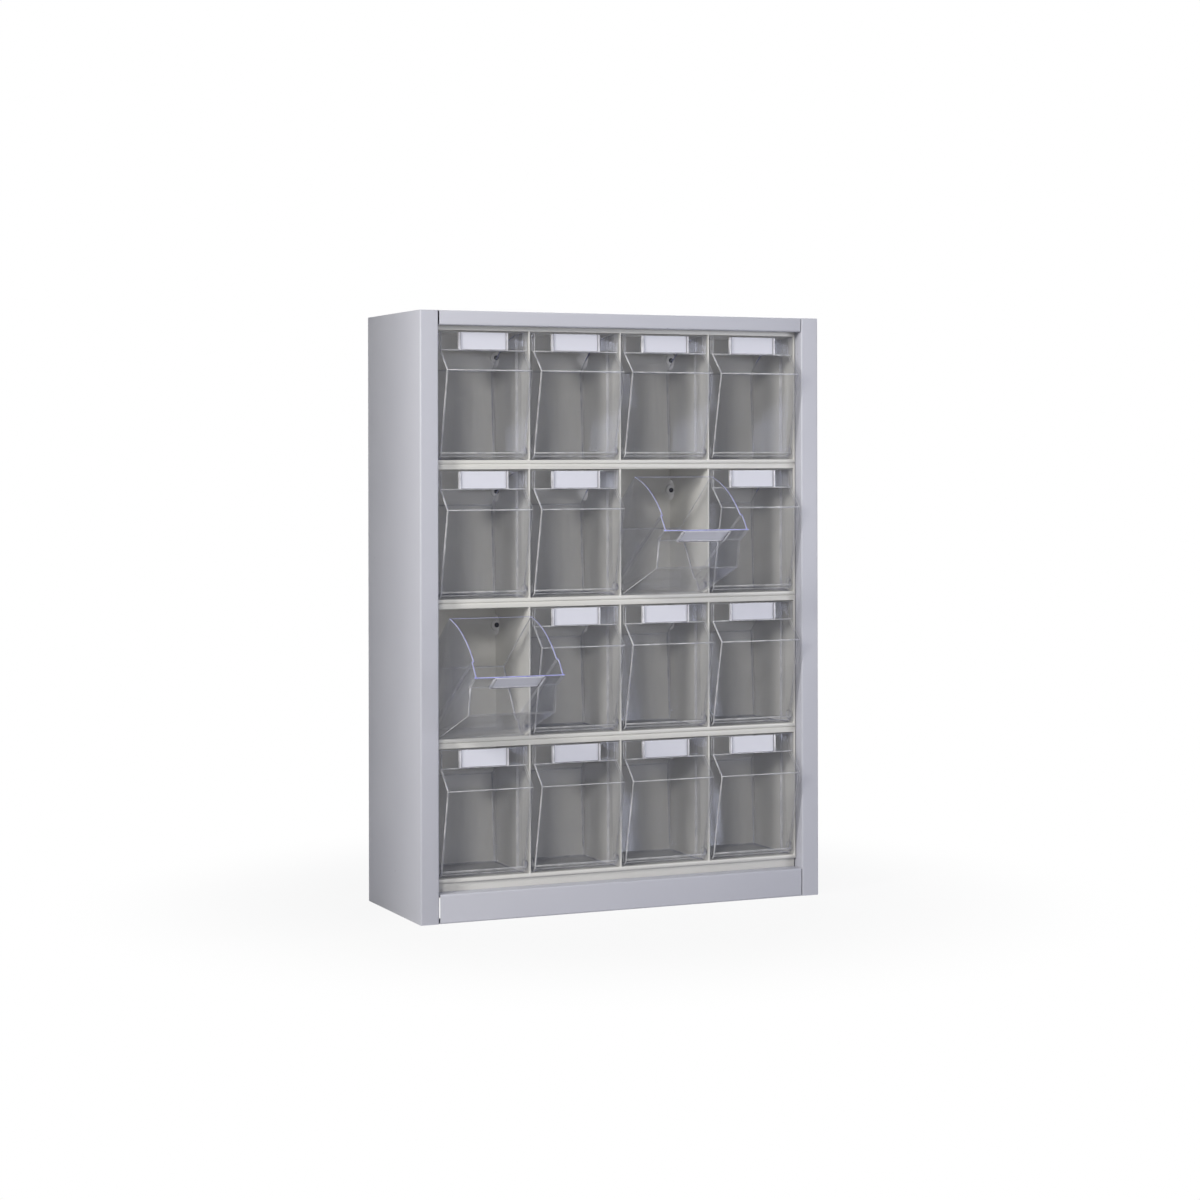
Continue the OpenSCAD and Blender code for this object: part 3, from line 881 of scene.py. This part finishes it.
    def dress(self, form: FastenerForm, tree: bpy.types.NodeTree) -> None:
        """Sets a fastener at every place that the CAD gives for its kind.

        Args:
            form: the kind of fastener.
            tree: the Geometry Nodes tree.
        """
        seats = self.places(form)
        data = bpy.data.meshes.new(f"{form.node}_dressed")
        data.from_pydata(seats, [], [])
        piece = add_object(f"{form.node}_dressed", data)
        nodes = piece.modifiers.new("repeat", "NODES")
        nodes.node_group = tree
        sockets = {i.name: i.identifier for i in tree.interface.items_tree
                   if i.in_out == "INPUT"}
        # the upright form is laid along y and spun about its own axis by a random turn
        tip = -form.towards * math.pi / 2
        for name, value in {
                "Head radius": form.head_r * MM, "Head height": form.head_h * MM,
                "Shank radius": form.shank_r * MM, "Shank length": form.shank_l * MM,
                "Recess radius": form.recess_r * MM, "Recess depth": form.recess_h * MM,
                "Dome": self.dome, "Sides": self.sides, "Recess sides": form.recess_sides,
                "Seed": self.seed, "Least turn": (tip, 0.0, 0.0),
                "Most turn": (tip, math.tau, 0.0),
                "Material": form.finish.material()}.items():
            nodes[sockets[name]] = value
        show(piece, form.node)
        LOG.info("%s: %d places", form.node, len(seats))

    def build(self) -> None:
        """Dresses every kind of fastener."""
        tree = self.tree()
        for form in self.forms:
            self.dress(form, tree)


# ---- studio ---------------------------------------------------------------------

WARM, COOL, NEUTRAL = "#fffdf8", "#f6f7ff", "#ffffff"  # the lamps' colours


@dataclass(frozen=True)
class SoftBox:
    """A soft box: where it stands, what it points at, its width and height, power and colour."""

    name: str
    at: tuple[float, float, float]
    to: tuple[float, float, float]
    size: tuple[float, float]
    watts: float
    colour: str


@dataclass
class Studio:
    """A pale floor, a white surround, soft lamps, a board that shades one of them, and the
    photograph's camera."""

    eye: tuple[float, float, float] = (-1.61922, -3.66330, 0.68177)
    yaw_deg: float = 23.584
    pitch_deg: float = 0.068
    roll_deg: float = -0.102
    sensor_mm: float = 36.0
    lens_mm: float = 77.36
    shift: tuple[float, float] = (0.01469, -0.12037)
    far_clip: float = 100.0
    white: tuple[float, float, float, float] = (1.0, 1.0, 1.0, 1.0)
    fill: str = "#b4bac8"
    fill_strength: float = 0.14
    floor_colour: str = "#c8c8ca"
    floor_half: float = 30.0
    fade: tuple[float, float] = (0.36, 0.85)  # from the middle to where it begins and ends
    least_white: float = 0.91  # share of white in the floor before it begins
    flag_near: tuple[float, float] = (-1.084, -0.385)
    flag_far: tuple[float, float] = (-1.25, -0.02)
    flag_heights: tuple[float, float] = (0.25, 1.35)
    clear_faces: int = 18  # how many clear faces in a row sight and light may cross
    lamps: tuple[SoftBox, ...] = (
        SoftBox("rake", at=(-4.07, -1.9, 2.12), to=(0.0, 0.0, 0.5), size=(0.87, 0.87),
                watts=128, colour=WARM),
        SoftBox("key", at=(-2.85, -3.85, 2.1), to=(0.0, 0.0, 0.5), size=(0.7, 0.7),
                watts=68, colour=WARM),
        SoftBox("front_fill", at=(2.0, -2.7, 0.7), to=(0.1, 0.0, 0.45), size=(1.2, 1.2),
                watts=27, colour=COOL),
        SoftBox("overhead", at=(0.2, -0.9, 2.6), to=(0.0, -0.1, 0.5), size=(2.2, 1.4),
                watts=10, colour=NEUTRAL),
        SoftBox("rear_fill", at=(1.4, 2.6, 2.3), to=(0.0, 0.1, 0.4), size=(1.6, 1.6),
                watts=52, colour=COOL))

    def camera(self) -> None:
        """Adds the camera, level and turned to the right, as the photograph's was."""
        yaw, pitch, roll = (math.radians(a) for a in
                            (self.yaw_deg, self.pitch_deg, self.roll_deg))
        ahead = Vector((math.sin(yaw) * math.cos(pitch), math.cos(yaw) * math.cos(pitch),
                        math.sin(pitch)))
        right = Vector((math.cos(yaw), -math.sin(yaw), 0))
        up = right.cross(ahead)
        side = right * math.cos(roll) + up * math.sin(roll)
        top = up * math.cos(roll) - right * math.sin(roll)
        turn = Matrix((side, top, -ahead)).transposed().to_4x4()
        data = bpy.data.cameras.new("photo_camera")
        data.sensor_width = self.sensor_mm
        data.lens = self.lens_mm
        data.shift_x, data.shift_y = self.shift
        data.clip_end = self.far_clip
        camera = add_object("photo_camera", data)
        camera.matrix_world = Matrix.Translation(self.eye) @ turn
        bpy.context.scene.camera = camera

    def seen(self, tree: bpy.types.NodeTree) -> bpy.types.NodeSocket:
        """Adds the nodes that tell what is looked at from what only gives light.

        Args:
            tree: the node tree that gets them.

        Returns:
            An output of 1 where something is seen, mirrored or seen through glass, and else 0.
        """
        path = put(tree, "ShaderNodeLightPath").outputs
        plain = put(tree, "ShaderNodeMath", {
            0: path["Is Camera Ray"], 1: path["Is Glossy Ray"]}, operation="MAXIMUM")
        return put(tree, "ShaderNodeMath", {
            0: plain.outputs[0], 1: path["Is Transmission Ray"]},
            operation="MAXIMUM").outputs[0]

    def surround(self) -> None:
        """Sets the world: white where it is seen or mirrored, a soft grey where it lights."""
        world = bpy.data.worlds.new("studio")
        bpy.context.scene.world = world
        world.use_nodes = True
        tree = world.node_tree
        tree.nodes.clear()
        dim = put(tree, "ShaderNodeBackground", {
            "Color": linear(self.fill), "Strength": self.fill_strength})
        white = put(tree, "ShaderNodeBackground", {"Color": self.white, "Strength": 1.0})
        both = put(tree, "ShaderNodeMixShader", {
            0: self.seen(tree), 1: dim.outputs[0], 2: white.outputs[0]})
        put(tree, "ShaderNodeOutputWorld", {"Surface": both.outputs[0]})

    def floor(self) -> None:
        """Adds a pale floor that keeps the shadow near the cabinet and fades into white."""
        mesh = bmesh.new()
        bmesh.ops.create_grid(mesh, x_segments=1, y_segments=1, size=self.floor_half)
        data = bpy.data.meshes.new("floor")
        mesh.to_mesh(data)
        mesh.free()
        data.materials.append(self.floor_material())
        floor = add_object("floor", data)

    def floor_material(self) -> bpy.types.Material:
        """Builds the floor's material.

        Returns:
            The material.
        """
        material, tree = new_material("pale_floor")
        place = put(tree, "ShaderNodeTexCoord").outputs["Object"]
        reach = put(tree, "ShaderNodeVectorMath", {0: place}, operation="LENGTH")
        begins, ends = self.fade
        fade = put(tree, "ShaderNodeMapRange", {
            "Value": reach.outputs["Value"], "From Min": begins, "From Max": ends,
            "To Min": self.least_white, "To Max": 1.0}, interpolation_type="SMOOTHSTEP")
        share = put(tree, "ShaderNodeMath", {
            0: self.seen(tree), 1: fade.outputs["Result"]}, operation="MULTIPLY")
        matt = put(tree, "ShaderNodeBsdfDiffuse", {"Color": linear(self.floor_colour)})
        white = put(tree, "ShaderNodeEmission", {"Color": self.white, "Strength": 1.0})
        both = put(tree, "ShaderNodeMixShader", {
            0: share.outputs[0], 1: matt.outputs[0], 2: white.outputs[0]})
        put(tree, "ShaderNodeOutputMaterial", {"Surface": both.outputs[0]})
        return material

    def light(self, box: SoftBox) -> None:
        """Adds a lamp.

        Args:
            box: its place, size, power and colour.
        """
        data = bpy.data.lights.new(box.name, "AREA")
        data.shape = "RECTANGLE"
        data.size, data.size_y = box.size
        data.energy = box.watts
        data.color = linear(box.colour)[:3]
        lamp = add_object(box.name, data)
        aim = Vector(box.to) - Vector(box.at)
        lamp.matrix_world = (Matrix.Translation(box.at)
                             @ aim.to_track_quat("-Z", "Y").to_matrix().to_4x4())
        lamp.visible_camera = False

    def flag(self) -> None:
        """Hangs an unseen upright board in the raking lamp's way, so that its half-shadow runs
        over the left side of the case."""
        near, far = (Vector((*at, 0.0)) for at in (self.flag_near, self.flag_far))
        low, high = (Vector((0.0, 0.0, z)) for z in self.flag_heights)
        data = bpy.data.meshes.new("rake_flag")
        data.from_pydata([near + low, far + low, far + high, near + high], [], [(0, 1, 2, 3)])
        board = add_object("rake_flag", data)
        board.visible_camera = False
        board.visible_diffuse = False
        board.visible_glossy = False
        board.visible_transmission = False

    def build(self) -> None:
        """Sets up the camera, the surround, the floor and the lamps."""
        self.camera()
        self.surround()
        self.floor()
        for box in self.lamps:
            self.light(box)
        self.flag()
        # at Blender's own limit of 8, cells behind two or three clear walls turn black
        bpy.context.scene.cycles.transparent_max_bounces = self.clear_faces
        bpy.context.scene.view_settings.view_transform = "Standard"


def main() -> None:
    """Builds the studio and then each sub-assembly."""
    logging.basicConfig(level=logging.INFO, format="%(name)s: %(message)s")
    for part in (Studio(), SheetCase(), CellStrips(), TiltBins(), Fasteners()):
        part.build()
        LOG.info("%s built", type(part).__name__)


if __name__ == "__main__":
    main()
